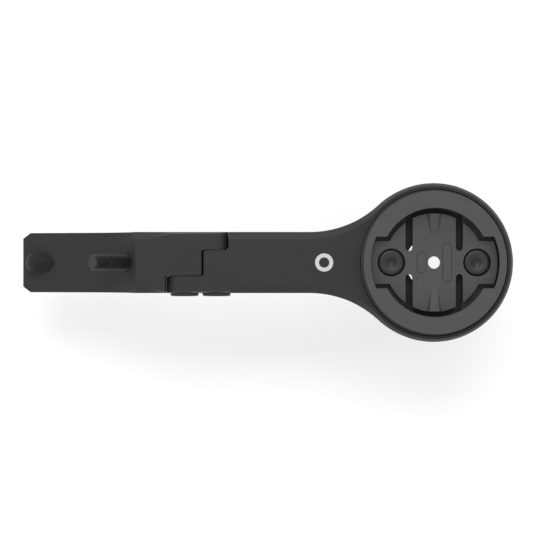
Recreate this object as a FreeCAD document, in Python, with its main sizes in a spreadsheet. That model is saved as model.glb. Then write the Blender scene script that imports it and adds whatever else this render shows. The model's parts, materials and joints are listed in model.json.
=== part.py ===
import FreeCAD, Part
import math
import os
import Sketcher

# Out-front mount for a cycling computer. Millimetres.
# The origin is on the axis of the computer's socket, at the level of the socket's top face.
# +X points forwards along the arm towards the socket, +Z up out of the socket, +Y to the left.

doc = FreeCAD.newDocument("computer_mount")

# ---------------------------------------------------------------------------
# Driving dimensions
# ---------------------------------------------------------------------------

DIMENSIONS = [
    # both halves of the arm
    ("arm_width", 14.88),
    ("arm_top", -3.4),
    ("arm_height", 9.6),
    ("bevel_width", 1.8),
    ("bevel_drop", 1.5),
    ("thin_bevel", 0.45),
    ("thin_bevel_run", 0.8),
    ("under_bevel", 1.0),
    # head of the front arm
    ("head_radius", 19.35),
    ("head_bevel", 0.7),
    ("head_height", 8.0),
    ("neck_radius", 25.0),
    ("taper_start", -42.0),
    ("taper_end", -24.0),
    ("taper_round", 40.0),
    ("cup_radius", 17.95),
    ("cup_depth", 3.2),
    ("floor_opening_radius", 6.6),
    # lap joint
    ("pivot_x", -60.8),
    ("joint_pitch", 7.85),
    ("front_lug_end", -65.1),
    ("rear_wall", -65.3),
    ("mid_wall_rear", -56.065),
    ("mid_wall_front", -56.035),
    ("rear_lug_end", -50.07),
    ("front_wall", -49.97),
    ("upper_split", 3.05),
    ("lower_split", -3.24),
    ("split_gap", 0.03),
    ("lug_round", 3.5),
    ("lug_trim", 0.02),
    ("plan_round", 0.6),
    ("wall_round", 0.45),
    ("edge_break", 0.18),
    # side screws and their bushes
    ("side_screw_radius", 1.5),
    ("side_head_radius", 3.45),
    ("side_head_height", 1.65),
    ("side_head_recess", 0.85),
    ("side_head_seat_radius", 3.6),
    ("side_socket", 2.0),
    ("side_socket_depth", 1.05),
    ("pivot_screw_length", 10.0),
    ("clamp_screw_length", 12.0),
    ("running_gap", 0.05),
    ("slot_gap", 0.15),
    ("tilt_limit", 5.0),
    ("bush_radius", 2.0),
    ("pivot_bush_length", 6.0),
    ("clamp_bush_length", 4.0),
    ("bush_setback", 0.15),
    ("thread_gap", 0.02),
    ("head_edge", 0.4),
    ("end_chamfer", 0.4),
    # quarter-turn socket
    ("insert_radius", 17.27),
    ("insert_height", 6.6),
    ("flange_radius", 17.8),
    ("flange_height", 2.7),
    ("lip_height", 1.2),
    ("mouth_radius", 13.2),
    ("wing_radius", 15.55),
    ("wing_width", 12.5),
    ("channel_radius", 15.75),
    ("base_height", 0.8),
    ("deck_radius", 11.95),
    ("deck_depth", 3.1),
    ("deck_wing_radius", 15.35),
    ("deck_wing_width", 10.4),
    ("slot_x", 6.1),
    ("slot_width", 1.75),
    ("slot_inner", 2.8),
    ("strip_end_gap", 1.15),
    ("strip_thickness", 1.6),
    ("detent_length", 5.7),
    ("detent_rise", 0.9),
    ("detent_wide", 3.45),
    ("detent_crest", 2.46),
    ("detent_narrow", 1.4),
    ("rooted", 0.4),
    ("centre_hole_radius", 1.5),
    ("pad_x", 3.1),
    ("pad_width", 2.0),
    ("pad_rise", 0.12),
    ("groove_width", 0.12),
    ("groove_depth", 0.22),
    ("rear_pad_length", 5.0),
    ("front_pad_length", 9.3),
    # screws of the socket
    ("socket_screw_x", 10.4),
    ("socket_screw_radius", 1.5),
    ("socket_head_radius", 3.05),
    ("socket_head_height", 1.8),
    ("socket_head_recess", 3.4),
    ("socket_head_drop", 3.7),
    ("socket_screw_length", 5.0),
    ("socket_hex", 2.07),
    ("socket_hex_depth", 1.1),
    ("socket_screw_gap", 0.15),
    ("insert_bush_length", 3.6),
    ("tip_room", 0.5),
    # cradle of the rear bracket
    ("cradle_radius", 17.5),
    ("cradle_slope", 14.0),
    ("cradle_tangent_x", -85.0),
    ("cradle_tangent_z", -16.41),
    ("cradle_top_angle", 64.0),
    ("block_back", -72.5),
    ("fade_start", -69.3),
    ("fade_end_left", -63.6),
    ("fade_end_right", -65.9),
    ("bracket_end", -102.03),
    ("end_bevel", 0.6),
    ("end_bevel_drop", 0.2),
    ("corner_cut_x", 1.95),
    ("corner_cut_y", 1.42),
    ("end_under", -25.4),
    ("under_corner_z", -19.45),
    # mounting bolt and peg
    ("tilt", 52.0),
    ("bolt_angle", 54.5),
    ("bolt_radius", 2.0),
    ("bolt_shank_radius", 1.75),
    ("bolt_shank_rise", 0.4),
    ("bolt_hole_radius", 2.15),
    ("bolt_head_radius", 3.5),
    ("bolt_head_height", 4.0),
    ("bolt_length", 15.3),
    ("bolt_socket", 3.0),
    ("bolt_socket_depth", 2.2),
    ("bolt_grip", 4.2),
    ("bolt_boss", 9.6),
    ("counterbore_radius", 3.85),
    ("washer_radius", 3.7),
    ("washer_height", 0.8),
    ("peg_x", -96.65),
    ("peg_flats", 4.1),
    ("peg_proud", 4.6),
    ("peg_root", 3.0),
    ("peg_dome_radius", 3.4),
    # how far a cutting tool runs past what it cuts, and the length of one that cuts right through
    ("overrun", 1.0),
    ("tool_length", 40.0),
]

sheet = doc.addObject("Spreadsheet::Sheet", "dims")
for row, (alias, number) in enumerate(DIMENSIONS, start=1):
    sheet.set("A%d" % row, alias)
    sheet.set("B%d" % row, str(number))
    sheet.setAlias("B%d" % row, alias)
doc.recompute()


def size(alias):
    """The number in the sheet's cell with that alias."""
    return float(getattr(sheet, alias))


def bind(thing, **expressions):
    """Binds properties of a document object to the sheet; a double underscore stands for a dot."""
    for name, text in expressions.items():
        thing.setExpression(name.replace("__", "."), text)
    return thing


def place(thing, at=("0", "0", "0"), axis=None, angle="0"):
    """Puts an object at a point given by expressions, turned about an axis by an expression in degrees."""
    if axis is not None:
        thing.Placement = FreeCAD.Placement(FreeCAD.Vector(), FreeCAD.Rotation(axis, 1.0))
        thing.setExpression("Placement.Rotation.Angle", angle)
    for letter, text in zip("xyz", at):
        thing.setExpression("Placement.Base." + letter, text)
    return thing


# ---------------------------------------------------------------------------
# Primitives, each bound to the sheet
# ---------------------------------------------------------------------------

ALONG_Y = FreeCAD.Vector(1, 0, 0)
TILTED = FreeCAD.Vector(0, 1, 0)


def cylinder(name, radius, height, at=("0", "0", "0"), axis=None, angle="0"):
    rod = doc.addObject("Part::Cylinder", name)
    bind(rod, Radius=radius, Height=height)
    return place(rod, at, axis, angle)


def block(name, length, width, height, at):
    """A box centred on X and Y of the point it is given, and standing on its Z."""
    brick = doc.addObject("Part::Box", name)
    bind(brick, Length=length, Width=width, Height=height)
    corner = ("%s - (%s)/2" % (at[0], length), "%s - (%s)/2" % (at[1], width), at[2])
    return place(brick, corner)


def hexagon(name, across_flats, height, at=("0", "0", "0"), axis=None, angle="0"):
    prism = doc.addObject("Part::Prism", name)
    prism.Polygon = 6
    bind(prism, Circumradius="(%s)/sqrt(3)" % across_flats, Height=height)
    return place(prism, at, axis, angle)


def sphere(name, radius, at):
    ball = doc.addObject("Part::Sphere", name)
    bind(ball, Radius=radius)
    return place(ball, at)


def fused(name, *shapes):
    union = doc.addObject("Part::MultiFuse", name)
    union.Shapes = list(shapes)
    union.Refine = False
    return union


def common(name, *shapes):
    both = doc.addObject("Part::MultiCommon", name)
    both.Shapes = list(shapes)
    return both


def cut(name, base, *tools):
    """base less all the tools, taken away one after the other; the last cut has the name."""
    for step, tool in enumerate(tools, start=1):
        last = step == len(tools)
        rest = doc.addObject("Part::Cut", name if last else "%s_cut_%d" % (name, step))
        rest.Base = base
        rest.Tool = tool
        rest.Refine = False
        base = rest
    return base


# ---------------------------------------------------------------------------
# Turned pieces: a PartDesign body revolved from a sketch of its half section
# ---------------------------------------------------------------------------


def origin_plane(body, role):
    return next(f for f in body.Origin.OriginFeatures if f.Role == role)


def number(text):
    """What an expression over the sheet comes to."""
    value = sheet.evalExpression(text)
    return float(getattr(value, "Value", value))


def corner_sketch(body, name, role, corners):
    """A closed outline through corners given as pairs of expressions, each corner bound to the sheet."""
    drawing = body.newObject("Sketcher::SketchObject", name)
    drawing.AttachmentSupport = [(origin_plane(body, role), "")]
    drawing.MapMode = "FlatFace"
    points = [FreeCAD.Vector(number(x), number(y), 0) for x, y in corners]
    count = len(points)
    for i in range(count):
        drawing.addGeometry(Part.LineSegment(points[i], points[(i + 1) % count]), False)
    for i in range(count):
        drawing.addConstraint(Sketcher.Constraint("Coincident", i, 2, (i + 1) % count, 1))
    for i, (x, y) in enumerate(corners):
        for kind, text, value in (("DistanceX", x, points[i].x), ("DistanceY", y, points[i].y)):
            index = drawing.addConstraint(Sketcher.Constraint(kind, -1, 1, i, 1, value))
            drawing.setExpression("Constraints[%d]" % index, text)
    return drawing


def turned(name, corners):
    """A body turned about its own Z axis, from a half section in X (radius) and Z (height)."""
    body = doc.addObject("PartDesign::Body", name)
    section = corner_sketch(body, name + "_section", "XZ_Plane", corners)
    spin = body.newObject("PartDesign::Revolution", name + "_turned")
    spin.Profile = section
    spin.ReferenceAxis = (section, ["V_Axis"])
    spin.Angle = 360.0
    doc.recompute()
    return body


def socket_cut(body, across_flats, depth, top):
    """A hexagon socket sunk into a turned body from the level top."""
    drive = body.newObject("PartDesign::SubtractivePrism", body.Name + "_socket")
    drive.Polygon = 6
    bind(drive, Circumradius="(%s)/sqrt(3)" % across_flats, Height="(%s) + dims.overrun" % depth)
    drive.setExpression("Placement.Base.z", "(%s) - (%s)" % (top, depth))
    doc.recompute()
    return body


def low_screw(name, shank, length, head, rise, hexagon_size, hexagon_depth):
    """A low-head socket screw: its bearing face at Z 0, its shank below and its head above."""
    corners = [
        ("0", "-(%s)" % length),
        ("(%s) - dims.end_chamfer" % shank, "-(%s)" % length),
        (shank, "-(%s) + dims.end_chamfer" % length),
        (shank, "0"),
        (head, "0"),
        (head, "(%s) - dims.head_edge" % rise),
        ("(%s) - dims.head_edge/3" % head, "(%s) - dims.head_edge/3" % rise),
        ("(%s) - dims.head_edge" % head, rise),
        ("0", rise),
    ]
    return socket_cut(turned(name, corners), hexagon_size, hexagon_depth, rise)


def tube(name, outer, inner, length):
    """A plain bush from Z 0 upwards."""
    return turned(name, [(inner, "0"), (outer, "0"), (outer, length), (inner, length)])


# ---------------------------------------------------------------------------
# Outlines worked out from the sheet
# ---------------------------------------------------------------------------


def vec(x, y, z=0.0):
    return FreeCAD.Vector(x, y, z)


def arc(start, middle, end):
    return Part.Arc(start, middle, end).toShape()


def line(start, end):
    return Part.LineSegment(start, end).toShape()


def rounded_path(points, radii, closed=False):
    """Edges through the points, each corner rounded by its radius; radius 0 stays sharp."""
    count = len(points)
    entries, middles, exits = [], [], []
    for i, (corner, radius) in enumerate(zip(points, radii)):
        inside = closed or 0 < i < count - 1
        if radius == 0 or not inside:
            entries.append(corner)
            middles.append(None)
            exits.append(corner)
            continue
        before = (points[i - 1] - corner).normalize()
        after = (points[(i + 1) % count] - corner).normalize()
        half = before.getAngle(after) / 2
        towards = (before + after).normalize()
        entries.append(corner + before * (radius / math.tan(half)))
        middles.append(corner + towards * (radius / math.sin(half) - radius))
        exits.append(corner + after * (radius / math.tan(half)))
    edges = []
    for i in range(count):
        if middles[i] is not None:
            edges.append(arc(entries[i], middles[i], exits[i]))
        if closed or i < count - 1:
            following = (i + 1) % count
            if exits[i].distanceToPoint(entries[following]) > 1e-6:
                edges.append(line(exits[i], entries[following]))
    return edges


def prism(wire, direction):
    return Part.Face(wire).extrude(direction)


def feature(name, shape):
    blank = doc.addObject("Part::Feature", name)
    blank.Shape = shape
    return blank


HALF = size("arm_width") / 2
TOP = size("arm_top")
BOTTOM = TOP - size("arm_height")
SHOULDER = TOP - size("bevel_drop")
AXIS_Z = (TOP + BOTTOM) / 2
OVERRUN = size("overrun")
SIDE_REACH = size("head_radius") + OVERRUN

PIVOT_Z = "dims.arm_top - dims.arm_height/2"
CLAMP_X = "dims.pivot_x + dims.joint_pitch"
SEAT_Y = "-dims.arm_width/2 + dims.side_head_recess"

# ---------------------------------------------------------------------------
# Front arm
# ---------------------------------------------------------------------------


def neck_arcs(half_width, head_radius, start_x, radius):
    """Where a neck of that radius leaves an edge at start_x, its middle, and where it meets the head."""
    centre = vec(start_x, half_width + radius)
    leaves = vec(start_x, half_width)
    meets = centre * (head_radius / centre.Length)
    towards = ((leaves - centre) + (meets - centre)).normalize()
    return leaves, centre + towards * radius, meets


def flipped(point):
    return vec(point.x, -point.y, point.z)


def arm_plan(z, inset=0.0, thin_inset=0.0, head_inset=0.0):
    """The front arm's outline at height z, without the lap joint's steps, drawn in by insets: along its long
    edges, beside the lower lug and round the head."""
    half = HALF - inset
    thin = HALF - thin_inset
    head = size("head_radius") - head_inset
    start_x = -math.sqrt((size("head_radius") + size("neck_radius")) ** 2 - (HALF + size("neck_radius")) ** 2)
    radius = (head * head - half * half - start_x * start_x) / (2 * (half - head))
    leaves, bends, meets = neck_arcs(half, head, start_x, radius)
    points = [
        leaves,
        vec(size("front_lug_end"), half),
        vec(size("front_lug_end"), -thin),
        vec(size("front_wall"), -thin),
        vec(size("front_wall") + size("thin_bevel_run"), -half),
        flipped(leaves),
    ]
    edges = [line(start, end) for start, end in zip(points, points[1:])]
    edges.append(arc(flipped(leaves), flipped(bends), flipped(meets)))
    edges.append(arc(flipped(meets), vec(head, 0), meets))
    edges.append(arc(meets, bends, leaves))
    wire = Part.Wire(edges)
    wire.translate(vec(0, 0, z))
    return wire


def arm_side():
    """The front arm seen from the side: round lug end, level underside, taper up to the thinner head."""
    left = size("front_lug_end")
    right = size("head_radius") + OVERRUN
    head_under = TOP - size("head_height")
    points = [
        vec(left, 0, TOP),
        vec(left, 0, BOTTOM),
        vec(size("taper_start"), 0, BOTTOM),
        vec(size("taper_end"), 0, head_under),
        vec(right, 0, head_under),
        vec(right, 0, TOP),
    ]
    lug = size("lug_round")
    bend = size("taper_round")
    return Part.Wire(rounded_path(points, [lug, lug, bend, bend, 0, 0], closed=True))


def lofted(low, high):
    """A solid whose sides run straight from one outline to the other."""
    return Part.makeLoft([low, high], True, True)


def crowned(plan, bottom, **insets):
    """A solid on a plan: upright up to the shoulder and bevelled above it."""
    core = prism(plan(bottom), vec(0, 0, SHOULDER - bottom))
    return core.fuse(lofted(plan(SHOULDER), plan(TOP, **insets)))


def lean(side, z):
    """How far the lap joint's middle wall leans back at height z, so that the arm can tilt: the front arm's,
    side 1, leans below the pivot's axis and the rear bracket's, side -1, above it."""
    return max(0.0, side * (AXIS_Z - z)) * math.tan(math.radians(size("tilt_limit")))


def joint_outline(side, z, inset):
    """The outline at height z of what the lap joint's steps take from the front arm, side 1, or from the rear
    bracket, side -1, where inset takes that much more."""
    gap = side * (size("split_gap") / 2 + inset)
    if side == 1:
        wall, middle, lug_end = "front_wall", "mid_wall_front", "front_lug_end"
        splits = ("lower_split", "upper_split")
    else:
        wall, middle, lug_end = "rear_wall", "mid_wall_rear", "rear_lug_end"
        splits = ("upper_split", "lower_split")
    first_y, second_y = (size(split) - gap for split in splits)
    middle_x = size(middle) + side * (inset + lean(side, z))
    wall_x = size(wall) + side * inset
    far_x = size(lug_end) - side * OVERRUN
    far_y = side * (HALF + OVERRUN)
    tip_x = size(lug_end) + side * size("lug_trim")
    points = [
        vec(far_x, -far_y),
        vec(tip_x, -far_y),
        vec(tip_x, first_y),
        vec(middle_x, first_y),
        vec(middle_x, second_y),
        vec(wall_x, second_y),
        vec(wall_x, far_y),
        vec(far_x, far_y),
    ]
    turn, wall_turn = size("plan_round"), size("wall_round")
    wire = Part.Wire(rounded_path(points, [0, 0, turn, turn, turn, wall_turn, 0, 0], closed=True))
    wire.translate(vec(0, 0, z))
    return wire


def stepped(shape, side):
    """The shape with the lap joint's steps taken out of it, their edges broken along the top face."""
    edge_break = size("edge_break")
    levels = [(BOTTOM - OVERRUN, 0), (AXIS_Z, 0), (TOP - edge_break, 0), (TOP + edge_break, 2 * edge_break)]
    outlines = [joint_outline(side, z, inset) for z, inset in levels]
    for low, high in zip(outlines, outlines[1:]):
        shape = shape.cut(lofted(low, high))
    return shape.Solids[0]


UPRIGHT = 0.05
DOWNWARD = -0.35
NEAR = 0.1


def eased_below(shape, keep, lug_end, side):
    """The shape with a bevel along those edges between upright walls and the underside that keep picks. The
    lug that ends at lug_end, pointing back for side 1 and forwards for side -1, keeps its full width above
    its lower round."""
    picked = []
    for edge in shape.Edges:
        middle = edge.valueAt((edge.FirstParameter + edge.LastParameter) / 2)
        neighbours = shape.ancestorsOfType(edge, Part.Face)
        lifts = [face.normalAt(*face.Surface.parameter(middle)).z for face in neighbours]
        if len(lifts) == 2 and min(lifts) < DOWNWARD and abs(max(lifts)) < UPRIGHT and keep(middle):
            picked.append(edge)
    tip = Part.makeBox(
        size("lug_round") + OVERRUN,
        2 * SIDE_REACH,
        TOP - BOTTOM,
        vec(lug_end - (OVERRUN if side == 1 else size("lug_round")), -SIDE_REACH, BOTTOM + size("lug_round")),
    )
    eased = shape.makeChamfer(size("under_bevel"), picked)
    return eased.fuse(shape.common(tip)).removeSplitter().Solids[0]


def slab_between(side_outline):
    """A side view given in X and Z, carried right across the width."""
    moved = side_outline.copy()
    moved.translate(vec(0, -SIDE_REACH, 0))
    return prism(moved, vec(0, 2 * SIDE_REACH, 0))


arm_shape = crowned(
    arm_plan,
    BOTTOM,
    inset=size("bevel_width"),
    thin_inset=size("thin_bevel"),
    head_inset=size("head_bevel"),
)
arm_shape = arm_shape.common(slab_between(arm_side())).removeSplitter().Solids[0]
arm_shape = eased_below(
    arm_shape,
    lambda point: abs(point.y) > HALF - NEAR or point.x > size("front_wall"),
    size("front_lug_end"),
    1,
)
arm_blank = feature("front_arm_blank", stepped(arm_shape, 1))

cup = cylinder(
    "cup", "dims.cup_radius", "dims.cup_depth + dims.overrun", ("0", "0", "dims.arm_top - dims.cup_depth")
)
floor_opening = cylinder(
    "floor_opening", "dims.floor_opening_radius", "dims.tool_length", ("0", "0", "-dims.tool_length")
)
bush_seats = [
    cylinder(
        "bush_seat_" + end,
        "dims.bush_radius",
        "dims.insert_bush_length",
        (sign + "dims.socket_screw_x", "0", "-dims.insert_height - dims.insert_bush_length"),
    )
    for end, sign in (("rear", "-"), ("front", ""))
]
tip_rooms = [
    cylinder(
        "tip_room_" + end,
        "dims.socket_screw_radius + dims.socket_screw_gap",
        "dims.insert_bush_length",
        (sign + "dims.socket_screw_x", "0", "-dims.insert_height - dims.insert_bush_length - dims.tip_room"),
    )
    for end, sign in (("rear", "-"), ("front", ""))
]
arm_pivot_hole = cylinder(
    "arm_pivot_hole",
    "dims.side_screw_radius + dims.running_gap",
    "dims.arm_width",
    ("dims.pivot_x", "0", PIVOT_Z),
    ALONG_Y,
    "90",
)
arm_pivot_seat = cylinder(
    "arm_pivot_seat",
    "dims.side_head_seat_radius",
    "dims.side_head_recess + dims.overrun",
    ("dims.pivot_x", SEAT_Y, PIVOT_Z),
    ALONG_Y,
    "90",
)


def swung_slot(name, radius, start_y, end_y):
    """The room a round rod at the clamp screw needs as the arm tilts both ways about the pivot."""
    pitch = size("joint_pitch")
    limit = math.radians(size("tilt_limit"))
    centre = vec(size("pivot_x"), 0, AXIS_Z)
    outer, inner = pitch + radius, pitch - radius

    def at(distance, angle):
        return centre + vec(distance * math.cos(angle), 0, distance * math.sin(angle))

    def cap(angle, way):
        """The middle of the slot's round end at that angle, the end's way being up, 1, or down, -1."""
        return at(pitch, angle) + vec(-math.sin(angle), 0, math.cos(angle)) * (way * radius)

    edges = [
        arc(at(outer, -limit), at(outer, 0), at(outer, limit)),
        arc(at(outer, limit), cap(limit, 1), at(inner, limit)),
        arc(at(inner, limit), at(inner, 0), at(inner, -limit)),
        arc(at(inner, -limit), cap(-limit, -1), at(outer, -limit)),
    ]
    wire = Part.Wire(edges)
    wire.translate(vec(0, start_y, 0))
    return feature(name, prism(wire, vec(0, end_y - start_y, 0)))


SEAT = -HALF + size("side_head_recess")
clamp_slot = swung_slot("clamp_slot", size("side_screw_radius") + size("slot_gap"), -HALF - OVERRUN, HALF)
clamp_seat = swung_slot("clamp_seat", size("side_head_seat_radius"), -HALF - OVERRUN, SEAT)
front_arm = cut(
    "front_arm",
    arm_blank,
    cup,
    floor_opening,
    *bush_seats,
    *tip_rooms,
    arm_pivot_hole,
    arm_pivot_seat,
    clamp_slot,
    clamp_seat,
)

# ---------------------------------------------------------------------------
# Rear bracket
# ---------------------------------------------------------------------------

SLOPE = math.radians(size("cradle_slope"))
TANGENT = vec(size("cradle_tangent_x"), 0, size("cradle_tangent_z"))
CRADLE_CENTRE = TANGENT + vec(-math.sin(SLOPE), 0, math.cos(SLOPE)) * size("cradle_radius")


def on_cradle(degrees):
    """A point of the cradle's round stretch, at that slope."""
    angle = math.radians(degrees)
    return CRADLE_CENTRE + vec(math.sin(angle), 0, -math.cos(angle)) * size("cradle_radius")


def on_ramp(x):
    """A point of the cradle's straight stretch, at that x."""
    return vec(x, 0, TANGENT.z + (x - TANGENT.x) * math.tan(SLOPE))


TILT = math.radians(size("tilt"))
BOLT_UP = vec(-math.sin(TILT), 0, math.cos(TILT))
BOLT_BASE = on_cradle(size("bolt_angle"))


def bracket_side():
    """The rear bracket seen from the side: lug, block, cradle, end bevel and underside with a bolt facet."""
    end = size("bracket_end")
    lug = size("lug_round")
    facet = BOLT_BASE - BOLT_UP * size("bolt_boss")
    along_facet = vec(math.cos(TILT), 0, math.sin(TILT))
    upper = facet + along_facet * ((BOTTOM - facet.z) / along_facet.z)
    lower = facet + along_facet * ((size("under_corner_z") - facet.z) / along_facet.z)
    ramp_end = on_ramp(end + size("end_bevel"))
    nose = vec(end, 0, on_ramp(end).z - size("end_bevel_drop"))
    start = on_cradle(size("cradle_top_angle"))
    crest = vec(size("block_back"), 0, TOP)
    lug_x = size("rear_lug_end")
    upper_turn = vec(lug_x - lug, 0, TOP)
    lower_turn = vec(lug_x - lug, 0, BOTTOM)
    bulge = lug * math.sqrt(0.5)
    round_top = vec(lug_x - lug, 0, TOP - lug)
    round_low = vec(lug_x - lug, 0, BOTTOM + lug)
    middle = (size("cradle_top_angle") + size("cradle_slope")) / 2
    edges = [
        line(crest, upper_turn),
        arc(upper_turn, round_top + vec(bulge, 0, bulge), vec(lug_x, 0, TOP - lug)),
        line(vec(lug_x, 0, TOP - lug), vec(lug_x, 0, BOTTOM + lug)),
        arc(vec(lug_x, 0, BOTTOM + lug), round_low + vec(bulge, 0, -bulge), lower_turn),
        line(lower_turn, upper),
        line(upper, lower),
        line(lower, vec(end, 0, size("end_under"))),
        line(vec(end, 0, size("end_under")), nose),
        line(nose, ramp_end),
        line(ramp_end, TANGENT),
        arc(TANGENT, on_cradle(middle), start),
        line(start, crest),
    ]
    return Part.Wire(edges)


def bracket_plan(z, inset=0.0, thin_inset=0.0):
    """The rear bracket's outline at height z, without the lap joint's steps, drawn in by insets: along the
    block's edges and beside the joint."""
    end = size("bracket_end")
    wide = HALF - inset
    thin = HALF - thin_inset
    corner_x = end + size("corner_cut_x")
    corner_y = size("corner_cut_y")
    points = [
        vec(end, wide - corner_y),
        vec(corner_x, wide),
        vec(size("fade_start"), wide),
        vec(size("fade_end_left"), thin),
        vec(size("rear_lug_end"), thin),
        vec(size("rear_lug_end"), -thin),
        vec(size("fade_end_right"), -thin),
        vec(size("fade_start"), -wide),
        vec(corner_x, -wide),
        vec(end, corner_y - wide),
    ]
    wire = Part.Wire(rounded_path(points, [0] * len(points), closed=True))
    wire.translate(vec(0, 0, z))
    return wire


DEEP = size("end_under") - OVERRUN
bracket_shape = crowned(bracket_plan, DEEP, inset=size("bevel_width"), thin_inset=size("thin_bevel"))
bracket_shape = bracket_shape.common(slab_between(bracket_side())).removeSplitter().Solids[0]
bracket_shape = eased_below(bracket_shape, lambda point: abs(point.y) > HALF - NEAR, size("rear_lug_end"), -1)
bracket_blank = feature("rear_bracket_blank", stepped(bracket_shape, -1))


def down_bolt(distance):
    """A point on the mounting bolt's axis, that far below the cradle's surface, as three expressions."""
    base_x = "dims.cradle_tangent_x + dims.cradle_radius*(sin(%s) - sin(%s))"
    base_z = "dims.cradle_tangent_z + dims.cradle_radius*(cos(%s) - cos(%s))"
    base_x %= ("dims.bolt_angle*1deg", "dims.cradle_slope*1deg")
    base_z %= ("dims.cradle_slope*1deg", "dims.bolt_angle*1deg")
    return (
        "%s + (%s)*sin(dims.tilt*1deg)" % (base_x, distance),
        "0",
        "%s - (%s)*cos(dims.tilt*1deg)" % (base_z, distance),
    )


def down_peg(distance):
    """A point on the peg's axis, that far below the cradle's surface, as three expressions."""
    ramp = "dims.cradle_tangent_z + (dims.peg_x - dims.cradle_tangent_x)*tan(dims.cradle_slope*1deg)"
    return (
        "dims.peg_x + (%s)*sin(dims.tilt*1deg)" % distance,
        "0",
        "%s - (%s)*cos(dims.tilt*1deg)" % (ramp, distance),
    )


LEAN = (TILTED, "-dims.tilt")
bolt_hole = cylinder(
    "bolt_hole", "dims.bolt_hole_radius", "dims.tool_length", down_bolt("dims.tool_length/2"), *LEAN
)
counterbore = cylinder(
    "counterbore",
    "dims.counterbore_radius",
    "dims.tool_length",
    down_bolt("dims.bolt_grip + dims.tool_length"),
    *LEAN,
)
peg_socket = hexagon(
    "peg_socket", "dims.peg_flats", "dims.peg_root + dims.tool_length/4", down_peg("dims.peg_root"), *LEAN
)
pivot_bush_seat = cylinder(
    "pivot_bush_seat",
    "dims.bush_radius",
    "dims.pivot_bush_length + dims.overrun",
    ("dims.pivot_x", "dims.lower_split + dims.pivot_bush_length", PIVOT_Z),
    ALONG_Y,
    "90",
)
pivot_screw_bore = cylinder(
    "pivot_screw_bore",
    "dims.side_screw_radius + dims.thread_gap",
    "dims.pivot_screw_length + dims.overrun",
    ("dims.pivot_x", SEAT_Y + " + dims.pivot_screw_length + dims.tip_room", PIVOT_Z),
    ALONG_Y,
    "90",
)
clamp_bush_seat = cylinder(
    "clamp_bush_seat",
    "dims.bush_radius",
    "dims.arm_width",
    (CLAMP_X, "dims.arm_width/2 + dims.overrun", PIVOT_Z),
    ALONG_Y,
    "90",
)
rear_bracket = cut(
    "rear_bracket",
    bracket_blank,
    bolt_hole,
    counterbore,
    peg_socket,
    pivot_bush_seat,
    pivot_screw_bore,
    clamp_bush_seat,
)

# ---------------------------------------------------------------------------
# Quarter-turn socket
# ---------------------------------------------------------------------------

DECK_Z = "-dims.deck_depth"
FOOT_Z = "-dims.insert_height"
BASE_Z = "-dims.insert_height + dims.base_height"

insert_puck = cylinder("insert_puck", "dims.insert_radius", "dims.insert_height", ("0", "0", FOOT_Z))
channel = cylinder(
    "channel",
    "dims.channel_radius",
    "dims.insert_height - dims.base_height - dims.lip_height",
    ("0", "0", BASE_Z),
)
mouth = cylinder("mouth", "dims.mouth_radius", "dims.insert_height", ("0", "0", BASE_Z))
wings = common(
    "wings",
    cylinder("wing_ends", "dims.wing_radius", "dims.insert_height", ("0", "0", BASE_Z)),
    block("wing_sides", "dims.tool_length", "dims.wing_width", "dims.insert_height", ("0", "0", BASE_Z)),
)
flange = cylinder("insert_flange", "dims.flange_radius", "dims.flange_height", ("0", "0", FOOT_Z))
shell = cut("socket_shell", fused("flanged_puck", insert_puck, flange), channel, mouth, wings)
deck_height = "dims.insert_height - dims.base_height - dims.deck_depth"
deck = cylinder("deck", "dims.deck_radius", deck_height, ("0", "0", BASE_Z))
deck_wings = common(
    "deck_wings",
    cylinder("deck_wing_ends", "dims.deck_wing_radius", deck_height, ("0", "0", BASE_Z)),
    block("deck_wing_sides", "dims.tool_length", "dims.deck_wing_width", deck_height, ("0", "0", BASE_Z)),
)

slot_foot = FOOT_Z + " - dims.overrun"
slot_height = "dims.insert_height - dims.deck_depth + 2*dims.overrun"
slots = []
for side_name, x_sign in (("rear", "-"), ("front", "")):
    for end_name, y_sign in (("left", 1), ("right", -1)):
        name = "slot_%s_%s" % (side_name, end_name)
        nose_y = "dims.slot_inner + dims.slot_width/2"
        run = doc.addObject("Part::Box", name + "_run")
        bind(
            run,
            Length="dims.slot_width",
            Width="dims.deck_radius - (%s)" % nose_y,
            Height=slot_height,
        )
        run_start = nose_y if y_sign > 0 else "-dims.deck_radius"
        place(run, ("%sdims.slot_x - dims.slot_width/2" % x_sign, run_start, slot_foot))
        nose = cylinder(
            name + "_nose",
            "dims.slot_width/2",
            slot_height,
            ("%sdims.slot_x" % x_sign, nose_y if y_sign > 0 else "-(%s)" % nose_y, slot_foot),
        )
        slots.append(fused(name, run, nose))

STRIP_REACH = "dims.deck_radius + dims.strip_end_gap"
strip_ends = common(
    "strip_ends",
    cut(
        "strip_end_ring",
        cylinder("strip_end_outer", STRIP_REACH, slot_height, ("0", "0", slot_foot)),
        cylinder(
            "strip_end_inner", "dims.deck_radius", "dims.tool_length", ("0", "0", "-dims.tool_length/2")
        ),
    ),
    block(
        "strip_end_band",
        "2*dims.slot_x + dims.slot_width",
        "dims.tool_length",
        slot_height,
        ("0", "0", slot_foot),
    ),
)
relief_height = "dims.insert_height - dims.deck_depth - dims.strip_thickness + dims.overrun"
strip_relief = common(
    "strip_relief",
    cylinder("relief_ends", STRIP_REACH, relief_height, ("0", "0", slot_foot)),
    block("relief_sides", "2*dims.slot_x", "dims.tool_length", relief_height, ("0", "0", slot_foot)),
)


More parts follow.
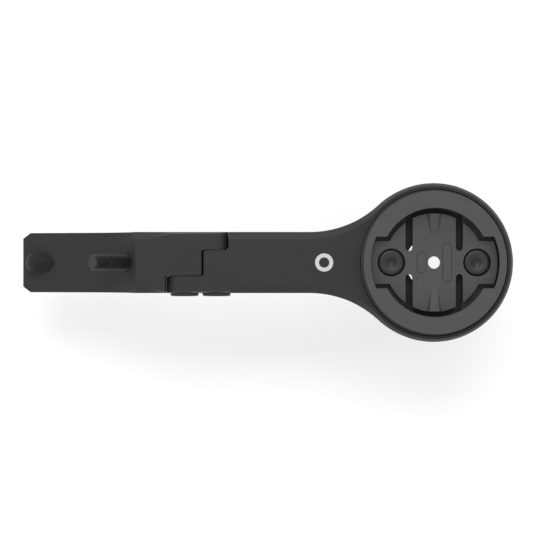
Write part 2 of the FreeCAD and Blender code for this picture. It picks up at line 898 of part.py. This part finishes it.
def ramp(name, y_sign):
    """A detent of the sprung strip: a wedge with drafted sides that widens and rises to the strip's end."""
    foot, crest, narrow = size("detent_wide") / 2, size("detent_crest") / 2, size("detent_narrow") / 2
    inner_y = y_sign * (size("deck_radius") - size("detent_length"))
    outer_y = y_sign * math.sqrt(size("deck_radius") ** 2 - foot ** 2)
    level = -size("deck_depth")
    top = level + size("detent_rise")
    t1, t2 = vec(-narrow, inner_y, level), vec(narrow, inner_y, level)
    f1, f2 = vec(-foot, outer_y, level), vec(foot, outer_y, level)
    c1, c2 = vec(-crest, outer_y, top), vec(crest, outer_y, top)
    r1, r2, r3, r4 = (corner - vec(0, 0, size("rooted")) for corner in (t1, t2, f2, f1))
    outlines = [
        [r1, r2, r3, r4],
        [t1, t2, c2, c1],
        [r1, r2, t2, t1],
        [r2, r3, f2, t2],
        [t2, f2, c2],
        [r3, r4, f1, c1, c2, f2],
        [r4, r1, t1, f1],
        [f1, t1, c1],
    ]
    faces = [Part.Face(Part.makePolygon(outline + outline[:1])) for outline in outlines]
    return feature(name, Part.makeSolid(Part.makeShell(faces)))


def lozenge(name, x, length, grown, bottom, height):
    """A raised area with round ends, across the strip, its outline grown by that much all round."""
    width = "dims.pad_width + 2*(%s)" % grown
    run = block(name + "_run", width, "(%s) - dims.pad_width" % length, height, (x, "0", bottom))
    ends = [
        cylinder(
            name + end,
            "(%s)/2" % width,
            height,
            (x, "%s((%s) - dims.pad_width)/2" % (sign, length), bottom),
        )
        for end, sign in (("_left", ""), ("_right", "-"))
    ]
    return fused(name, run, *ends)


def pad(name, x, length):
    """A faint raised pad across the strip."""
    return lozenge(name, x, length, "0", DECK_Z + " - dims.rooted", "dims.pad_rise + dims.rooted")


def pad_groove(name, x, length):
    """The fine groove that runs round a pad."""
    reach = "dims.groove_depth + dims.overrun"
    bottom = DECK_Z + " - dims.groove_depth"
    return cut(
        name,
        lozenge(name + "_outer", x, length, "dims.groove_width", bottom, reach),
        lozenge(name + "_inner", x, length, "0", bottom + " - dims.overrun", reach + " + 2*dims.overrun"),
    )


screw_recesses, screw_holes = [], []
for end, sign in (("rear", "-"), ("front", "")):
    x = sign + "dims.socket_screw_x"
    screw_recesses.append(
        cylinder(
            "socket_screw_recess_" + end,
            "dims.socket_head_recess",
            "dims.insert_height",
            (x, "0", "-dims.socket_head_drop - dims.socket_head_height"),
        )
    )
    screw_holes.append(
        cylinder(
            "socket_screw_hole_" + end,
            "dims.socket_screw_radius + dims.socket_screw_gap",
            "dims.tool_length",
            (x, "0", "-dims.tool_length/2"),
        )
    )

centre_hole = cylinder(
    "centre_hole", "dims.centre_hole_radius", "dims.tool_length", ("0", "0", "-dims.tool_length/2")
)
socket_blank = fused(
    "socket_blank",
    shell,
    deck,
    deck_wings,
    ramp("detent_left", 1),
    ramp("detent_right", -1),
    pad("rear_pad", "-dims.pad_x", "dims.rear_pad_length"),
    pad("front_pad", "dims.pad_x", "dims.front_pad_length"),
)
quarter_turn_insert = cut(
    "quarter_turn_insert",
    socket_blank,
    *slots,
    strip_ends,
    strip_relief,
    pad_groove("rear_pad_groove", "-dims.pad_x", "dims.rear_pad_length"),
    pad_groove("front_pad_groove", "dims.pad_x", "dims.front_pad_length"),
    centre_hole,
    *screw_recesses,
    *screw_holes,
)

# ---------------------------------------------------------------------------
# Screws, bushes, washer and peg
# ---------------------------------------------------------------------------

for end, sign in (("rear", "-"), ("front", "")):
    x = sign + "dims.socket_screw_x"
    screw = low_screw(
        "insert_screw_" + end,
        "dims.socket_screw_radius",
        "dims.socket_screw_length",
        "dims.socket_head_radius",
        "dims.socket_head_height",
        "dims.socket_hex",
        "dims.socket_hex_depth",
    )
    place(screw, (x, "0", "-dims.socket_head_drop - dims.socket_head_height"))
    bush = tube(
        "insert_bush_" + end,
        "dims.bush_radius",
        "dims.socket_screw_radius + dims.thread_gap",
        "dims.insert_bush_length",
    )
    place(bush, (x, "0", "-dims.insert_height - dims.insert_bush_length"))

for name, x, length in (
    ("pivot_screw", "dims.pivot_x", "dims.pivot_screw_length"),
    ("clamp_screw", CLAMP_X, "dims.clamp_screw_length"),
):
    screw = low_screw(
        name,
        "dims.side_screw_radius",
        length,
        "dims.side_head_radius",
        "dims.side_head_height",
        "dims.side_socket",
        "dims.side_socket_depth",
    )
    place(screw, (x, SEAT_Y, PIVOT_Z), ALONG_Y, "90")

for name, x, length, start_y in (
    ("pivot_bush", "dims.pivot_x", "dims.pivot_bush_length", "dims.lower_split"),
    ("clamp_bush", CLAMP_X, "dims.clamp_bush_length", "dims.upper_split + dims.bush_setback"),
):
    bush = tube(name, "dims.bush_radius", "dims.side_screw_radius + dims.thread_gap", length)
    place(bush, (x, start_y + " + " + length, PIVOT_Z), ALONG_Y, "90")

BOLT_SHANK_END = "dims.bolt_head_height + dims.washer_height + dims.bolt_grip + dims.bolt_shank_rise"
BOLT_END = "dims.bolt_head_height + dims.bolt_length"
mount_bolt = turned(
    "mount_bolt",
    [
        ("0", "0"),
        ("dims.bolt_head_radius - dims.end_chamfer", "0"),
        ("dims.bolt_head_radius", "dims.end_chamfer"),
        ("dims.bolt_head_radius", "dims.bolt_head_height"),
        ("dims.bolt_shank_radius", "dims.bolt_head_height"),
        ("dims.bolt_shank_radius", BOLT_SHANK_END),
        ("dims.bolt_radius", BOLT_SHANK_END),
        ("dims.bolt_radius", BOLT_END + " - dims.end_chamfer"),
        ("dims.bolt_radius - dims.end_chamfer", BOLT_END),
        ("0", BOLT_END),
    ],
)
bolt_drive = mount_bolt.newObject("PartDesign::SubtractivePrism", "mount_bolt_socket")
bolt_drive.Polygon = 6
bind(bolt_drive, Circumradius="dims.bolt_socket/sqrt(3)", Height="dims.bolt_socket_depth + dims.overrun")
place(bolt_drive, ("0", "0", "-dims.overrun"))
place(mount_bolt, down_bolt("dims.bolt_grip + dims.washer_height + dims.bolt_head_height"), *LEAN)

washer = tube("mount_bolt_washer", "dims.washer_radius", "dims.bolt_hole_radius", "dims.washer_height")
place(washer, down_bolt("dims.bolt_grip + dims.washer_height"), *LEAN)

peg_bar = hexagon(
    "peg_bar", "dims.peg_flats", "dims.peg_root + dims.peg_proud", down_peg("dims.peg_root"), *LEAN
)
peg_form = fused(
    "peg_form",
    cylinder(
        "peg_foot",
        "dims.peg_dome_radius",
        "dims.peg_root + dims.peg_proud - dims.peg_dome_radius",
        down_peg("dims.peg_root"),
        *LEAN,
    ),
    sphere("peg_dome", "dims.peg_dome_radius", down_peg("dims.peg_dome_radius - dims.peg_proud")),
)
peg = common("locating_peg", peg_bar, peg_form)

# ---------------------------------------------------------------------------
# Check and write
# ---------------------------------------------------------------------------

NODES = [
    "rear_bracket",
    "front_arm",
    "quarter_turn_insert",
    "insert_screw_rear",
    "insert_screw_front",
    "insert_bush_rear",
    "insert_bush_front",
    "pivot_screw",
    "clamp_screw",
    "pivot_bush",
    "clamp_bush",
    "mount_bolt",
    "mount_bolt_washer",
    "locating_peg",
]

doc.recompute()
for thing in doc.Objects:
    if "Invalid" in thing.State or "Error" in thing.State:
        raise SystemExit("%s did not recompute: %s" % (thing.Name, thing.State))

os.makedirs("parts", exist_ok=True)
for name in NODES:
    piece = doc.getObject(name)
    shape = piece.Shape
    if shape.isNull() or not shape.isValid():
        raise SystemExit("%s has no valid shape" % name)
    piece.Label = name
    shape.exportStep("parts/%s.step" % name)
    box = shape.BoundBox
    print(
        "%-22s solids %d volume %9.2f  x %7.2f %7.2f  y %6.2f %6.2f  z %7.2f %7.2f"
        % (name, len(shape.Solids), shape.Volume, box.XMin, box.XMax, box.YMin, box.YMax, box.ZMin, box.ZMax)
    )
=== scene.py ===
import json
import math

import bmesh
import bpy
from mathutils import Matrix, Vector


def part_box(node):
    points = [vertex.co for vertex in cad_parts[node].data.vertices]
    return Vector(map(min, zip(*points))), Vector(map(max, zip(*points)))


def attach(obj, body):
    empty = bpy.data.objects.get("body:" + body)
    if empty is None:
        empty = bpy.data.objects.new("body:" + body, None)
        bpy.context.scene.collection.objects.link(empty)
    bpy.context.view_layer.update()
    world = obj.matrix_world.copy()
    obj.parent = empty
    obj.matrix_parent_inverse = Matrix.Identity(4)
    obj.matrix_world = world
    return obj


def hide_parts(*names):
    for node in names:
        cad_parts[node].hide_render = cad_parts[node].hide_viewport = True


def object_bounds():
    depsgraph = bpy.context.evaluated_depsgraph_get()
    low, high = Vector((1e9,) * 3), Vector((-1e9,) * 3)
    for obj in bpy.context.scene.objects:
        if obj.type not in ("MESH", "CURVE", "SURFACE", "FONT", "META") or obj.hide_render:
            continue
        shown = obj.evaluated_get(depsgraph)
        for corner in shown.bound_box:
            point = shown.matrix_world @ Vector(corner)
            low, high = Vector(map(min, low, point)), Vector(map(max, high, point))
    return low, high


# An out-front handlebar mount for a cycling computer, seen from straight above. Metres.
# +X points along the arm towards the computer's socket, +Z up, +Y to the left.

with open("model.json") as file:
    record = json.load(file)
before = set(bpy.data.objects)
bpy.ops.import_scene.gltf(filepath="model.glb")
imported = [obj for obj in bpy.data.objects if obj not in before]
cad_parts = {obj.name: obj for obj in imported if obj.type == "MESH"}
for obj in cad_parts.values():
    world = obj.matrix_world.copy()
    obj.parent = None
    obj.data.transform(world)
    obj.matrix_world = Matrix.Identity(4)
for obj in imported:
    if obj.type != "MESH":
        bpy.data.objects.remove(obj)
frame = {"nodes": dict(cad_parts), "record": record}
cad_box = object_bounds()

MM = 0.001
NODES = frame["nodes"]
MOUNTS = {mount["name"]: mount for mount in frame["record"]["mounts"]}

THREAD_DEPTH = 0.6134  # a metric thread's depth, of its pitch
THREAD_CORE = 1.1  # how deep the end chamfers may cut, of the thread's depth


# ---------------------------------------------------------------------------
# Meshes
# ---------------------------------------------------------------------------


def middle_of(node):
    low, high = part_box(node)
    return (low + high) / 2


def finished(name, bm, material, placement=Matrix.Identity(4), sharp_degrees=32.0):
    """A mesh object from bm, smooth except at edges sharper than that angle, moved to its place."""
    bmesh.ops.recalc_face_normals(bm, faces=bm.faces)
    mesh = bpy.data.meshes.new(name)
    bm.to_mesh(mesh)
    bm.free()
    mesh.transform(placement)
    mesh.shade_smooth()
    mesh.set_sharp_from_angle(angle=math.radians(sharp_degrees))
    mesh.materials.append(material)
    piece = bpy.data.objects.new(name, mesh)
    bpy.context.scene.collection.objects.link(piece)
    return piece


def facing(point, direction):
    """The placement that puts a piece's own origin at point and turns its own +Z to direction."""
    turn = Vector(direction).to_track_quat("Z", "Y").to_matrix().to_4x4()
    return Matrix.Translation(point) @ turn


def hexagon_radius(angle, across_flats, corner_share=0.97):
    """How far a hexagon's side is from its middle in that direction, its corners slightly rounded."""
    sixth = math.pi / 3
    off_flat = (angle % sixth) - sixth / 2
    reach = across_flats / 2 / math.cos(off_flat)
    return min(reach, across_flats / math.sqrt(3) * corner_share)


def ring_of(bm, radius_at, z, segments):
    turns = [2 * math.pi * i / segments for i in range(segments)]
    return [bm.verts.new((radius_at(a) * math.cos(a), radius_at(a) * math.sin(a), z)) for a in turns]


def skin(bm, levels, segments=96):
    """A closed skin over rings, first to last; each level is (radius or function of angle, z)."""
    rings = []
    for radius, z in levels:
        radius_at = radius if callable(radius) else (lambda angle, fixed=radius: fixed)
        rings.append(ring_of(bm, radius_at, z, segments))
    for lower, upper in zip(rings, rings[1:]):
        for i in range(segments):
            j = (i + 1) % segments
            bm.faces.new((lower[i], lower[j], upper[j], upper[i]))
    bm.faces.new(list(reversed(rings[0])))
    bm.faces.new(rings[-1])
    return bm


def rounded_rim(centre_radius, centre_z, reach, steps):
    """Levels along a quarter circle, from facing outwards to facing upwards."""
    angles = [math.pi / 2 * i / steps for i in range(steps + 1)]
    return [(centre_radius + reach * math.cos(a), centre_z + reach * math.sin(a)) for a in angles]


def threaded_rod(major, pitch, start, end, chamfer, segments=48):
    """A rolled metric thread about Z from start to end, with its crests chamfered away at both ends."""
    bm = bmesh.new()
    depth = THREAD_DEPTH * pitch
    core = major - depth * THREAD_CORE
    flanks = [(0.0, depth), (0.125, depth), (0.4375, 0.0), (0.5625, 0.0), (0.875, depth)]
    turns = math.ceil((end - start) / pitch) + 3
    rows = []
    for turn in range(turns + 1):
        for share, cut in flanks:
            row = []
            for i in range(segments):
                z = start + (turn - 2 + share + i / segments) * pitch
                room = major - chamfer + min(z - start, end - z)
                radius = max(core, min(major - cut, room))
                angle = 2 * math.pi * i / segments
                row.append(bm.verts.new((radius * math.cos(angle), radius * math.sin(angle), z)))
            rows.append(row)
    step = len(flanks)
    for index in range(len(rows) - step - 1):
        for i in range(segments):
            lower, upper = rows[index], rows[index + 1]
            if i + 1 < segments:
                bm.faces.new((lower[i], lower[i + 1], upper[i + 1], upper[i]))
            else:
                bm.faces.new((lower[i], rows[index + step][0], rows[index + 1 + step][0], upper[i]))
    for level, outwards in ((start, -1), (end, 1)):
        bmesh.ops.bisect_plane(
            bm,
            geom=bm.verts[:] + bm.edges[:] + bm.faces[:],
            plane_co=(0, 0, level),
            plane_no=(0, 0, outwards),
            clear_outer=True,
        )
    loose = [v for v in bm.verts if not v.link_faces]
    bmesh.ops.delete(bm, geom=loose, context="VERTS")
    bmesh.ops.holes_fill(bm, edges=[e for e in bm.edges if e.is_boundary], sides=0)
    return bm


def joined(*meshes):
    """One bmesh holding the closed shells of several."""
    whole = bmesh.new()
    for part in meshes:
        carrier = bpy.data.meshes.new("carrier")
        part.to_mesh(carrier)
        part.free()
        whole.from_mesh(carrier)
        bpy.data.meshes.remove(carrier)
    return whole


# ---------------------------------------------------------------------------
# Materials
# ---------------------------------------------------------------------------


class Paint:
    """A node material being built: a Principled shader and the nodes that feed it."""

    def __init__(self, name, roughness, metallic=0.0, specular=0.5):
        self.material = bpy.data.materials.new(name)
        self.material.use_nodes = True
        self.nodes = self.material.node_tree.nodes
        self.links = self.material.node_tree.links
        self.shader = self.nodes["Principled BSDF"]
        self.shader.inputs["Roughness"].default_value = roughness
        self.shader.inputs["Metallic"].default_value = metallic
        self.shader.inputs["Specular IOR Level"].default_value = specular
        self.place = self.nodes.new("ShaderNodeTexCoord").outputs["Object"]

    def stretched(self, scale):
        """Object coordinates scaled by a vector, for features that run one way."""
        mapping = self.nodes.new("ShaderNodeMapping")
        mapping.inputs["Scale"].default_value = scale
        self.links.new(self.place, mapping.inputs["Vector"])
        return mapping.outputs["Vector"]

    def noise(self, feature, detail=2.0, roughness=0.5, along=None):
        """Noise whose features are about that size in metres."""
        node = self.nodes.new("ShaderNodeTexNoise")
        node.inputs["Scale"].default_value = 1.0 / feature
        node.inputs["Detail"].default_value = detail
        node.inputs["Roughness"].default_value = roughness
        self.links.new(along or self.place, node.inputs["Vector"])
        return node.outputs["Fac"]

    def spots(self, feature):
        """Rounded cells about that size in metres, as a height."""
        node = self.nodes.new("ShaderNodeTexVoronoi")
        node.feature = "SMOOTH_F1"
        node.inputs["Scale"].default_value = 1.0 / feature
        self.links.new(self.place, node.inputs["Vector"])
        return node.outputs["Distance"]

    def spread(self, value, low, high, from_low=0.3, from_high=0.7):
        """value stretched from its own range to low..high."""
        node = self.nodes.new("ShaderNodeMapRange")
        node.inputs["From Min"].default_value = from_low
        node.inputs["From Max"].default_value = from_high
        node.inputs["To Min"].default_value = low
        node.inputs["To Max"].default_value = high
        self.links.new(value, node.inputs["Value"])
        return node.outputs["Result"]

    def combined(self, first, second, operation="MULTIPLY"):
        node = self.nodes.new("ShaderNodeMath")
        node.operation = operation
        self.links.new(first, node.inputs[0])
        self.links.new(second, node.inputs[1])
        return node.outputs["Value"]

    def colours(self, value, *stops):
        """A colour ramp over value; each stop is (position, linear colour)."""
        ramp = self.nodes.new("ShaderNodeValToRGB")
        elements = ramp.color_ramp.elements
        while len(elements) < len(stops):
            elements.new(0.5)
        for element, (position, colour) in zip(elements, stops):
            element.position = position
            element.color = (*colour, 1.0)
        self.links.new(value, ramp.inputs["Fac"])
        return ramp.outputs["Color"]

    def feed(self, socket, output):
        self.links.new(output, self.shader.inputs[socket])

    def bump(self, height, depth):
        """Relief of that depth in metres from a height of 0 to 1; several calls stack."""
        node = self.nodes.new("ShaderNodeBump")
        node.inputs["Strength"].default_value = 1.0
        node.inputs["Distance"].default_value = depth
        self.links.new(height, node.inputs["Height"])
        last = self.shader.inputs["Normal"]
        if last.is_linked:
            self.links.new(last.links[0].from_socket, node.inputs["Normal"])
        self.links.new(node.outputs["Normal"], last)


def grey(level, warmth=0.0):
    return (level * (1 + warmth), level, level * (1 - warmth))


def moulded_nylon(name, level, specular):
    """Matte glass-filled nylon: spark-eroded grain, faint flow streaks along the arm, uneven tone."""
    roughness, grain, relief = 0.52, 0.16 * MM, 0.006 * MM
    paint = Paint(name, roughness, specular=specular)
    clouds = paint.noise(9 * MM, detail=3.0)
    lengthwise = paint.stretched((0.18, 1.0, 1.0))
    flow = paint.noise(1.6 * MM, detail=4.0, roughness=0.6, along=lengthwise)
    specks = paint.noise(0.12 * MM, detail=1.0)
    tone = paint.combined(paint.combined(clouds, flow, "ADD"), specks, "ADD")
    paint.feed("Base Color", paint.colours(
        paint.spread(tone, 0.0, 1.0, from_low=1.2, from_high=1.8),
        (0.0, grey(level * 0.92)),
        (0.5, grey(level)),
        (1.0, grey(level * 1.08)),
    ))
    uneven = paint.combined(clouds, specks)
    paint.feed("Roughness", paint.spread(
        uneven, roughness - 0.05, roughness + 0.08, from_low=0.12, from_high=0.4
    ))
    paint.bump(paint.spots(grain), relief)
    paint.bump(flow, relief * 0.6)
    return paint.material


def blackened_steel(name, level):
    """Black oxide over steel: satin, with a fine grain and a slightly patchy bloom."""
    paint = Paint(name, 0.42, metallic=0.85)
    bloom = paint.noise(1.1 * MM, detail=4.0, roughness=0.6)
    grain = paint.noise(0.06 * MM, detail=2.0)
    paint.feed("Base Color", paint.colours(
        bloom,
        (0.25, grey(level * 0.82, 0.01)),
        (0.55, grey(level)),
        (0.85, grey(level * 1.25, 0.02)),
    ))
    uneven = paint.combined(bloom, grain)
    paint.feed("Roughness", paint.spread(uneven, 0.36, 0.52, from_low=0.1, from_high=0.4))
    paint.bump(grain, 0.0015 * MM)
    return paint.material


def plated_steel(name):
    """Zinc plate: bright satin with a faint bluish bloom and fine scratches."""
    paint = Paint(name, 0.3, metallic=1.0)
    bloom = paint.noise(1.8 * MM, detail=4.0)
    scratches = paint.noise(0.25 * MM, detail=3.0, along=paint.stretched((1.0, 0.06, 1.0)))
    paint.feed("Base Color", paint.colours(
        bloom,
        (0.3, (0.52, 0.53, 0.55)),
        (0.7, (0.62, 0.62, 0.63)),
    ))
    paint.feed("Roughness", paint.spread(scratches, 0.24, 0.42))
    paint.bump(scratches, 0.001 * MM)
    return paint.material


def machined_brass(name):
    """Turned brass bush: warm, satin, with turning lines."""
    paint = Paint(name, 0.32, metallic=1.0)
    tarnish = paint.noise(1.2 * MM, detail=4.0)
    lines = paint.noise(0.12 * MM, detail=2.0, along=paint.stretched((0.1, 1.0, 0.1)))
    paint.feed("Base Color", paint.colours(
        tarnish,
        (0.3, (0.58, 0.42, 0.19)),
        (0.75, (0.74, 0.57, 0.29)),
    ))
    paint.feed("Roughness", paint.spread(lines, 0.25, 0.42))
    paint.bump(lines, 0.002 * MM)
    return paint.material


def printed_ink(name):
    """Pad-printed pale ink: a little mottled, satin."""
    paint = Paint(name, 0.5, specular=0.4)
    mottle = paint.noise(0.2 * MM, detail=3.0)
    paint.feed("Base Color", paint.colours(
        mottle,
        (0.3, grey(0.5)),
        (0.7, grey(0.58)),
    ))
    paint.feed("Roughness", paint.spread(mottle, 0.44, 0.58))
    paint.bump(mottle, 0.002 * MM)
    return paint.material


def pale_floor(name):
    """Matte near-white board, very slightly uneven."""
    paint = Paint(name, 0.9, specular=0.1)
    paint.feed("Base Color", paint.colours(
        paint.noise(40 * MM),
        (0.3, grey(0.985)),
        (0.7, grey(0.995)),
    ))
    return paint.material


ARM_NYLON = moulded_nylon("arm_nylon_moulded", 0.0258, 0.22)
SOCKET_NYLON = moulded_nylon("socket_nylon_moulded", 0.0565, 0.34)
PEG_NYLON = moulded_nylon("peg_nylon_moulded", 0.0213, 0.12)
SCREW_STEEL = blackened_steel("black_oxide_steel", 0.046)
WASHER_STEEL = plated_steel("zinc_plated_steel")
BUSH_BRASS = machined_brass("turned_brass")
INK = printed_ink("printed_ink")

FINISHES = {
    "front_arm": ARM_NYLON,
    "rear_bracket": ARM_NYLON,
    "quarter_turn_insert": SOCKET_NYLON,
    "locating_peg": PEG_NYLON,
    "mount_bolt_washer": WASHER_STEEL,
    "insert_bush_rear": BUSH_BRASS,
    "insert_bush_front": BUSH_BRASS,
    "pivot_bush": BUSH_BRASS,
    "clamp_bush": BUSH_BRASS,
}
for node, finish in FINISHES.items():
    for holder in NODES[node].material_slots:
        holder.material = finish

# ---------------------------------------------------------------------------
# Screws
# ---------------------------------------------------------------------------


def low_socket_screw(name, node, body, direction, sizes):
    """A low-head socket screw in place of a CAD node; its own origin is at the middle of its bearing face."""
    low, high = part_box(node)
    axis = Vector(direction)
    length = abs((high - low).dot(axis))
    head, rise, shank, edge = (sizes[key] for key in ("head", "rise", "shank", "edge"))
    flats, depth = sizes["flats"], sizes["depth"]
    land, slope = head * sizes["land"], rise * sizes["slope"]
    mouth = flats / math.sqrt(3)
    collar = 0.05 * MM

    def drive(angle):
        return hexagon_radius(angle, flats)

    levels = [(0.5 * shank, 0.0), (head - 0.12 * MM, 0.0), (head, 0.1 * MM)]
    levels += rounded_rim(head - edge, rise - slope - edge, edge, steps=6)
    levels += [
        (land + 0.12 * MM, rise - 0.015 * MM),
        (land, rise),
        (mouth + 0.34 * MM, rise),
        (mouth + 0.24 * MM, rise - collar),
        (mouth + 0.12 * MM, rise - collar),
        (drive, rise - collar - 0.12 * MM),
        (drive, rise - depth),
        (flats * 0.25, rise - depth - flats * 0.12),
    ]
    head_skin = skin(bmesh.new(), levels)
    rod = threaded_rod(shank, sizes["pitch"], -(length - rise), 0.2 * MM, 0.3 * MM)
    outer_face = middle_of(node) + axis * (length / 2)
    placement = facing(outer_face - axis * rise, axis)
    piece = finished(name, joined(head_skin, rod), SCREW_STEEL, placement)
    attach(piece, body)
    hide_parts(node)


# land is the flat's share of the head's radius, slope the rim's share of its height, edge the rim's round.
SIDE_SCREW = {
    "head": 3.45 * MM,
    "rise": 1.65 * MM,
    "shank": 1.5 * MM,
    "pitch": 0.5 * MM,
    "flats": 2.0 * MM,
    "depth": 1.05 * MM,
    "land": 0.8,
    "slope": 0.04,
    "edge": 0.3 * MM,
}
SOCKET_SCREW = {
    "head": 3.05 * MM,
    "rise": 1.8 * MM,
    "shank": 1.5 * MM,
    "pitch": 0.5 * MM,
    "flats": 2.07 * MM,
    "depth": 1.1 * MM,
    "land": 0.82,
    "slope": 0.07,
    "edge": 0.2 * MM,
}

for node in ("pivot_screw", "clamp_screw"):
    low_socket_screw(node + "_threaded", node, "bracket", (0, -1, 0), SIDE_SCREW)
for node in ("insert_screw_rear", "insert_screw_front"):
    low_socket_screw(node + "_threaded", node, "arm", (0, 0, 1), SOCKET_SCREW)


def cap_screw():
    """The M4 mounting bolt: knurled cap head below the bracket, rolled thread up through it."""
    radius = MOUNTS["handlebar_bolt"]["dims"]["r_mm"] * MM
    up = Vector(MOUNTS["handlebar_bolt"]["axis"]).normalized()
    head, height, flats = 3.5 * MM, 4.0 * MM, 3.0 * MM
    length, pitch, end_chamfer = 15.3 * MM, 0.7 * MM, 0.45 * MM
    washer_half = 0.4 * MM
    ridges, ridge_depth = 36, 0.09 * MM

    def knurl(angle):
        return head - ridge_depth * (1 - math.cos(ridges * angle))

    def drive(angle):
        return hexagon_radius(angle, flats)

    levels = [
        (flats * 0.25, 1.85 * MM),
        (drive, 1.6 * MM),
        (drive, 0.22 * MM),
        (flats * 0.64, 0.0),
        (head - 0.5 * MM, 0.0),
        (head - 0.3 * MM, 0.06 * MM),
        (head - 0.1 * MM, 0.3 * MM),
        (head - ridge_depth, 0.42 * MM),
        (knurl, 0.6 * MM),
        (knurl, height - 0.75 * MM),
        (head - 0.1 * MM, height - 0.55 * MM),
        (head - 0.1 * MM, height - 0.12 * MM),
        (head - 0.22 * MM, height),
        (radius * 0.5, height),
    ]
    head_skin = skin(bmesh.new(), levels, segments=ridges * 6)
    rod = threaded_rod(radius, pitch, height - 0.2 * MM, height + length, end_chamfer)
    seat = middle_of("mount_bolt_washer") - up * washer_half
    placement = facing(seat - up * height, up)
    piece = finished("mount_bolt_threaded", joined(head_skin, rod), SCREW_STEEL, placement)
    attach(piece, "bracket")
    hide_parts("mount_bolt")


cap_screw()

# ---------------------------------------------------------------------------
# Printed mark: a plain ring
# ---------------------------------------------------------------------------


def printed_ring(centre, outer, inner, thickness, segments=96):
    """A flat ring of ink that stands a little proud of the arm, its edges rounded over."""
    bm = bmesh.new()
    edge = thickness * 0.6
    section = [(inner, -edge), (inner, thickness * 0.5), (inner + edge, thickness),
               (outer - edge, thickness), (outer, thickness * 0.5), (outer, -edge)]
    rings = [ring_of(bm, lambda a, r=radius: r, z, segments) for radius, z in section]
    for lower, upper in zip(rings, rings[1:] + rings[:1]):
        for i in range(segments):
            j = (i + 1) % segments
            bm.faces.new((lower[i], lower[j], upper[j], upper[i]))
    piece = finished("printed_ring", bm, INK, Matrix.Translation(centre))
    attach(piece, "arm")


RING_X = -26.7 * MM
arm_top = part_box("front_arm")[1].z
printed_ring(Vector((RING_X, 0, arm_top)), outer=2.2 * MM, inner=1.25 * MM, thickness=0.02 * MM)

# ---------------------------------------------------------------------------
# Floor, light and camera
# ---------------------------------------------------------------------------


def floor(level, half_width):
    """A square floor at that height."""
    bm = bmesh.new()
    bmesh.ops.create_grid(bm, x_segments=8, y_segments=8, size=half_width)
    piece = finished("floor", bm, pale_floor("pale_floor"), Matrix.Translation((0, 0, level)))


def softbox(name, azimuth, elevation, power):
    """A soft rectangular light that faces the object; azimuth is counted from +X towards +Y, in degrees."""
    a, e = math.radians(azimuth), math.radians(elevation)
    towards = Vector((math.cos(a) * math.cos(e), math.sin(a) * math.cos(e), math.sin(e)))
    target = (cad_box[0] + cad_box[1]) / 2
    lamp = bpy.data.lights.new(name, "AREA")
    lamp.shape = "RECTANGLE"
    lamp.size, lamp.size_y = SOFTBOX_SIZE
    lamp.energy = power
    holder = bpy.data.objects.new(name, lamp)
    holder.matrix_world = facing(target + towards * SOFTBOX_DISTANCE, towards)
    bpy.context.scene.collection.objects.link(holder)


FLOOR_GAP = 25 * MM
SOFTBOX_SIZE = (0.45, 0.25)
SOFTBOX_DISTANCE = 0.7

floor(cad_box[0].z - FLOOR_GAP, half_width=3.0)
softbox("key_softbox", azimuth=95, elevation=62, power=1.1)
softbox("side_softbox", azimuth=90, elevation=20, power=0.7)

world = bpy.data.worlds.new("studio")
world.use_nodes = True
sky = world.node_tree.nodes["Background"]
sky.inputs["Color"].default_value = (1, 1, 1, 1)
sky.inputs["Strength"].default_value = 0.97
bpy.context.scene.world = world

camera = bpy.data.cameras.new("camera")
camera.sensor_width = 36.0
camera.lens = 126.14
camera_holder = bpy.data.objects.new("camera", camera)
camera_holder.location = (-40.7 * MM, -0.97 * MM, 450 * MM)
bpy.context.scene.collection.objects.link(camera_holder)
bpy.context.scene.camera = camera_holder
bpy.context.scene.view_settings.view_transform = "Standard"
